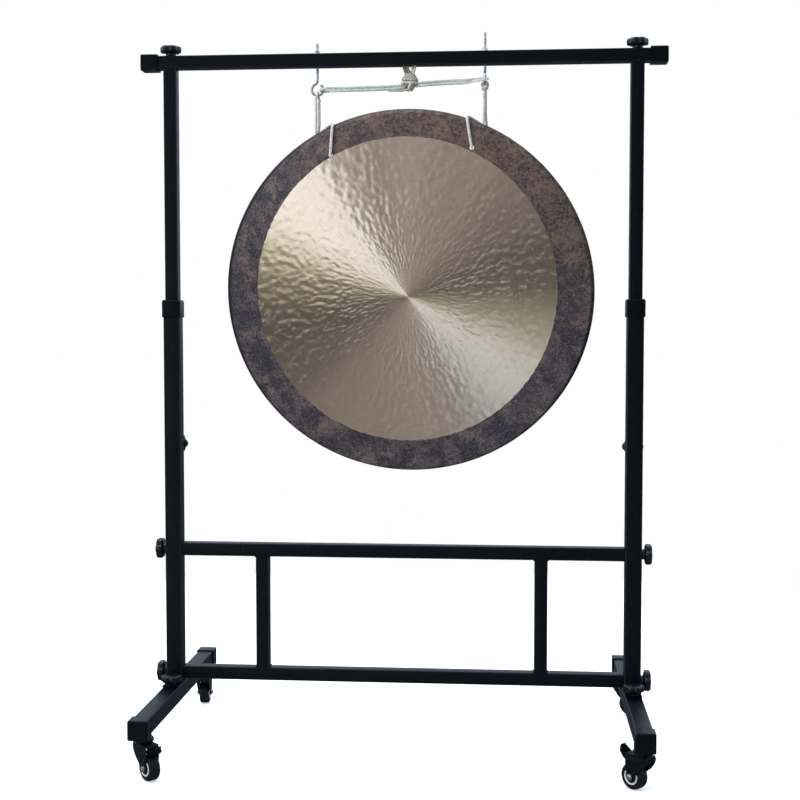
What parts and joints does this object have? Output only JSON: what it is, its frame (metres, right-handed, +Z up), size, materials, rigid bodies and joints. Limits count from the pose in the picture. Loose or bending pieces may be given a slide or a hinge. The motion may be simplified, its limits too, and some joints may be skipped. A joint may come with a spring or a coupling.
{
  "type": "tam tam gong",
  "caption": "Large bronze tam tam hung on cords in a black height-adjustable square-tube stand with star knobs, on swivel casters with brakes.",
  "frame": {"origin": "on the floor under the middle of the stand", "axes": "+Z up, the gong's face towards -Y, +X to the right of someone who looks at the face"},
  "size_m": [1.274, 0.72, 1.737],
  "materials": {
    "black_coat": "satin black powder coat",
    "black_plastic": "moulded black plastic, slightly shiny",
    "black_steel": "black lacquered pressed steel",
    "zinc": "bright zinc plating",
    "bronze": "lathe-brushed and hammered bronze, dark fired border",
    "cord": "smooth off-white braided cord",
    "tyre": "black wheel with a grey bearing ring"
  },
  "bodies": {
    "base": {"left_foot": "black_coat", "right_foot": "black_coat", "left_front_foot_cap": "black_plastic", "left_rear_foot_cap": "black_plastic", "right_front_foot_cap": "black_plastic", "right_rear_foot_cap": "black_plastic", "left_base_plate": "black_coat", "right_base_plate": "black_coat", "left_lower_post": "black_coat", "right_lower_post": "black_coat", "left_collar": "black_plastic", "right_collar": "black_plastic", "mid_rail": "black_coat", "low_rail": "black_coat", "left_strut": "black_coat", "right_strut": "black_coat", "front_left_caster_mount": "black_steel", "front_right_caster_mount": "black_steel", "rear_left_caster_mount": "black_steel", "rear_right_caster_mount": "black_steel"},
    "upper_frame": {"left_upper_post": "black_coat", "right_upper_post": "black_coat", "crossbar": "black_coat", "left_bar_cap": "black_plastic", "right_bar_cap": "black_plastic", "left_eye_bolt": "zinc", "right_eye_bolt": "zinc", "left_eye_nut": "zinc", "right_eye_nut": "zinc", "tie_cord": "cord", "hanger_cord": "cord"},
    "gong": {"gong": "bronze", "left_sling": "cord", "right_sling": "cord"},
    "left_mid_rail_knob": {"left_mid_rail_knob": "black_plastic"},
    "left_low_rail_knob": {"left_low_rail_knob": "black_plastic"},
    "left_base_knob": {"left_base_knob": "black_plastic"},
    "left_height_knob": {"left_height_knob": "black_plastic"},
    "left_top_knob": {"left_top_knob": "black_plastic"},
    "right_mid_rail_knob": {"right_mid_rail_knob": "black_plastic"},
    "right_low_rail_knob": {"right_low_rail_knob": "black_plastic"},
    "right_base_knob": {"right_base_knob": "black_plastic"},
    "right_height_knob": {"right_height_knob": "black_plastic"},
    "right_top_knob": {"right_top_knob": "black_plastic"},
    "front_left_swivel": {"front_left_fork": "black_steel", "front_left_axle": "zinc"},
    "front_left_wheel": {"front_left_wheel": "tyre"},
    "front_left_brake_pedal": {"front_left_brake_pedal": "black_plastic"},
    "front_right_swivel": {"front_right_fork": "black_steel", "front_right_axle": "zinc"},
    "front_right_wheel": {"front_right_wheel": "tyre"},
    "front_right_brake_pedal": {"front_right_brake_pedal": "black_plastic"},
    "rear_left_swivel": {"rear_left_fork": "black_steel", "rear_left_axle": "zinc"},
    "rear_left_wheel": {"rear_left_wheel": "tyre"},
    "rear_right_swivel": {"rear_right_fork": "black_steel", "rear_right_axle": "zinc"},
    "rear_right_wheel": {"rear_right_wheel": "tyre"}
  },
  "joints": [
    {"name": "height_slide", "type": "slide", "parent": "base", "child": "upper_frame", "axis": [0, 0, 1], "range_m": [-0.1, 0.12]},
    {"name": "gong_swing", "type": "hinge", "parent": "upper_frame", "child": "gong", "pos_m": [0, 0, 1.6032], "axis": [0.9988, 0, 0.0492], "range_deg": [-15, 15]},
    {"name": "left_mid_rail_knob_turn", "type": "hinge", "parent": "base", "child": "left_mid_rail_knob", "pos_m": [-0.5853, 0, 0.481], "axis": [-1, 0, 0], "continuous": true},
    {"name": "left_low_rail_knob_turn", "type": "hinge", "parent": "base", "child": "left_low_rail_knob", "pos_m": [-0.5853, 0, 0.1716], "axis": [-1, 0, 0], "continuous": true},
    {"name": "left_base_knob_turn", "type": "hinge", "parent": "base", "child": "left_base_knob", "pos_m": [-0.565, -0.049, 0.1486], "axis": [0, 0, 1], "continuous": true},
    {"name": "left_height_knob_turn", "type": "hinge", "parent": "base", "child": "left_height_knob", "pos_m": [-0.565, 0.0203, 0.74], "axis": [0, 1, 0], "continuous": true},
    {"name": "left_top_knob_turn", "type": "hinge", "parent": "upper_frame", "child": "left_top_knob", "pos_m": [-0.565, 0, 1.6923], "axis": [0, 0, 1], "continuous": true},
    {"name": "right_mid_rail_knob_turn", "type": "hinge", "parent": "base", "child": "right_mid_rail_knob", "pos_m": [0.5853, 0, 0.481], "axis": [1, 0, 0], "continuous": true},
    {"name": "right_low_rail_knob_turn", "type": "hinge", "parent": "base", "child": "right_low_rail_knob", "pos_m": [0.5853, 0, 0.1716], "axis": [1, 0, 0], "continuous": true},
    {"name": "right_base_knob_turn", "type": "hinge", "parent": "base", "child": "right_base_knob", "pos_m": [0.565, -0.049, 0.1486], "axis": [0, 0, 1], "continuous": true},
    {"name": "right_height_knob_turn", "type": "hinge", "parent": "base", "child": "right_height_knob", "pos_m": [0.565, 0.0203, 0.74], "axis": [0, 1, 0], "continuous": true},
    {"name": "right_top_knob_turn", "type": "hinge", "parent": "upper_frame", "child": "right_top_knob", "pos_m": [0.565, 0, 1.6923], "axis": [0, 0, 1], "continuous": true},
    {"name": "front_left_swivel_turn", "type": "hinge", "parent": "base", "child": "front_left_swivel", "pos_m": [-0.565, -0.302, 0.083], "axis": [0, 0, 1], "continuous": true},
    {"name": "front_left_wheel_roll", "type": "hinge", "parent": "front_left_swivel", "child": "front_left_wheel", "pos_m": [-0.54732, -0.31968, 0.03], "axis": [0.7071, 0.7071, 0], "continuous": true},
    {"name": "front_left_brake_press", "type": "hinge", "parent": "front_left_swivel", "child": "front_left_brake_pedal", "pos_m": [-0.54025, -0.32675, 0.069], "axis": [0.7071, 0.7071, 0], "range_deg": [-20, 0]},
    {"name": "front_right_swivel_turn", "type": "hinge", "parent": "base", "child": "front_right_swivel", "pos_m": [0.565, -0.302, 0.083], "axis": [0, 0, 1], "continuous": true},
    {"name": "front_right_wheel_roll", "type": "hinge", "parent": "front_right_swivel", "child": "front_right_wheel", "pos_m": [0.54732, -0.28432, 0.03], "axis": [-0.7071, -0.7071, 0], "continuous": true},
    {"name": "front_right_brake_press", "type": "hinge", "parent": "front_right_swivel", "child": "front_right_brake_pedal", "pos_m": [0.54025, -0.27725, 0.069], "axis": [-0.7071, -0.7071, 0], "range_deg": [0, 20]},
    {"name": "rear_left_swivel_turn", "type": "hinge", "parent": "base", "child": "rear_left_swivel", "pos_m": [-0.565, 0.302, 0.083], "axis": [0, 0, 1], "continuous": true},
    {"name": "rear_left_wheel_roll", "type": "hinge", "parent": "rear_left_swivel", "child": "rear_left_wheel", "pos_m": [-0.56718, 0.32691, 0.03], "axis": [-0.9962, -0.0872, 0], "continuous": true},
    {"name": "rear_right_swivel_turn", "type": "hinge", "parent": "base", "child": "rear_right_swivel", "pos_m": [0.565, 0.302, 0.083], "axis": [0, 0, 1], "continuous": true},
    {"name": "rear_right_wheel_roll", "type": "hinge", "parent": "rear_right_swivel", "child": "rear_right_wheel", "pos_m": [0.58991, 0.30418, 0.03], "axis": [-0.0872, 0.9962, 0], "continuous": true}
  ]
}
